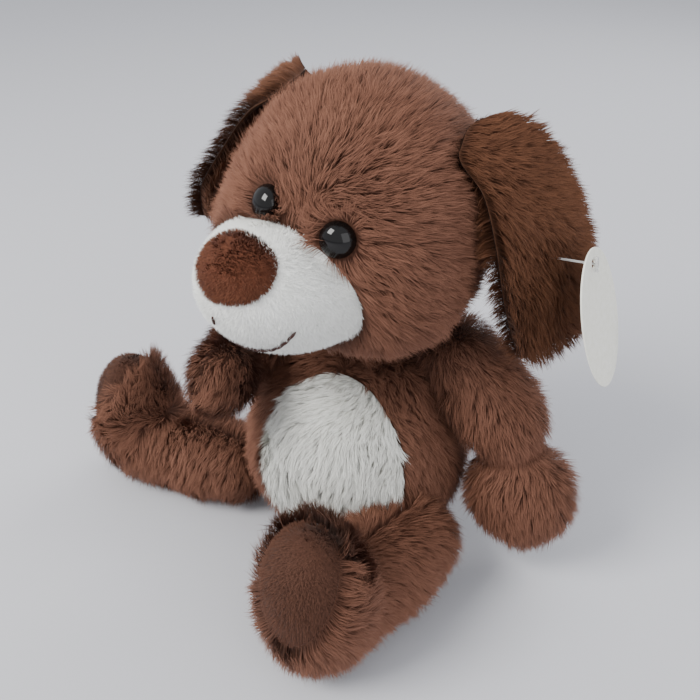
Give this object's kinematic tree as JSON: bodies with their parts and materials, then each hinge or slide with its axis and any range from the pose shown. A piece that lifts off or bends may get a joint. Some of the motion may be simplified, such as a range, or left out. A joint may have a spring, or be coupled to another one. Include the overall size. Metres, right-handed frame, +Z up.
{
  "type": "plush dog",
  "caption": "Sitting plush dog with a big turned head, long hanging ears, white muzzle and belly, short arms and legs, and a hang tag on one ear",
  "frame": {"origin": "on the surface the dog sits on, under the middle of the dog's bounding box", "axes": "+Z up; the body faces -Y; the dog's left is +X; the head is turned towards the dog's right and tilted, as it sits"},
  "size_m": [0.2637, 0.2094, 0.2283],
  "materials": {
    "brown_plush": "long reddish-brown pile",
    "dark_plush": "long dark brown pile",
    "sole_velour": "short dark brown pile",
    "nose_velour": "short reddish-brown pile",
    "white_velour": "short off-white pile",
    "white_plush": "long off-white pile",
    "fibre": "loose polyester fibre",
    "eye_black": "polished black",
    "washer": "moulded",
    "thread": "twisted thread",
    "label": "white satin",
    "card": "coated cream card",
    "nylon": "clear moulded nylon"
  },
  "bodies": {
    "body": {"body_cover": "brown_plush", "belly_patch": "white_plush", "body_stuffing": "fibre", "care_label": "label"},
    "neck_gather": {"neck_thread": "thread"},
    "head": {"head_cover": "brown_plush", "muzzle_cover": "white_velour", "head_stuffing": "fibre", "nose_patch": "nose_velour", "mouth_thread": "thread", "nose_thread": "thread", "left_eye": "eye_black", "right_eye": "eye_black", "left_eye_washer": "washer", "right_eye_washer": "washer"},
    "left_ear": {"left_ear_outer": "dark_plush", "left_ear_inner": "dark_plush", "tag_fastener": "nylon"},
    "right_ear": {"right_ear_outer": "dark_plush", "right_ear_inner": "dark_plush"},
    "left_arm": {"left_arm_cover": "brown_plush", "left_arm_stuffing": "fibre"},
    "right_arm": {"right_arm_cover": "brown_plush", "right_arm_stuffing": "fibre"},
    "left_leg": {"left_leg_cover": "brown_plush", "left_leg_stuffing": "fibre", "left_sole": "sole_velour"},
    "right_leg": {"right_leg_cover": "brown_plush", "right_leg_stuffing": "fibre", "right_sole": "sole_velour"},
    "tail": {"tail_cover": "brown_plush", "tail_stuffing": "fibre"},
    "hang_tag": {"hang_tag": "card"}
  },
  "joints": [
    {"name": "neck_turn", "type": "hinge", "parent": "body", "child": "neck_gather", "pos_m": [0.0158, 0.017, 0.111], "axis": [0, 0, 1], "range_deg": [-12, 12], "stiffness_Nm_per_rad": 0.5},
    {"name": "neck_nod", "type": "hinge", "parent": "neck_gather", "child": "head", "pos_m": [0.0158, 0.017, 0.111], "axis": [0.9613, -0.2756, 0], "range_deg": [-7, 4], "stiffness_Nm_per_rad": 0.5},
    {"name": "left_ear_flap", "type": "hinge", "parent": "head", "child": "left_ear", "pos_m": [0.06244, -0.00455, 0.20873], "axis": [0.4215, -0.2902, -0.8591], "range_deg": [0, 40], "stiffness_Nm_per_rad": 0.03},
    {"name": "right_ear_flap", "type": "hinge", "parent": "head", "child": "right_ear", "pos_m": [-0.01378, 0.01987, 0.21644], "axis": [0.7867, -0.0562, 0.6148], "range_deg": [0, 20], "stiffness_Nm_per_rad": 0.03},
    {"name": "left_shoulder", "type": "hinge", "parent": "body", "child": "left_arm", "pos_m": [0.0648, 0.016, 0.107], "axis": [-1, 0, 0], "range_deg": [-15, 50], "stiffness_Nm_per_rad": 0.2},
    {"name": "right_shoulder", "type": "hinge", "parent": "body", "child": "right_arm", "pos_m": [-0.0292, 0.017, 0.103], "axis": [-1, 0, 0], "range_deg": [-13, 10], "stiffness_Nm_per_rad": 0.2},
    {"name": "left_hip", "type": "hinge", "parent": "body", "child": "left_leg", "pos_m": [0.0558, -0.024, 0.026], "axis": [-0.9135, 0.4067, 0], "range_deg": [0, 30], "stiffness_Nm_per_rad": 0.2},
    {"name": "right_hip", "type": "hinge", "parent": "body", "child": "right_leg", "pos_m": [-0.0472, 0.001, 0.024], "axis": [0.0523, 0.9986, 0], "range_deg": [0, 30], "stiffness_Nm_per_rad": 0.2},
    {"name": "tail_wag", "type": "hinge", "parent": "body", "child": "tail", "pos_m": [0.0158, 0.067, 0.024], "axis": [0, 0, 1], "range_deg": [-25, 25], "stiffness_Nm_per_rad": 0.04},
    {"name": "tag_swing", "type": "hinge", "parent": "left_ear", "child": "hang_tag", "pos_m": [0.11543, 0.00501, 0.16557], "axis": [0.9299, -0.25, 0.27], "range_deg": [-15, 15]}
  ]
}
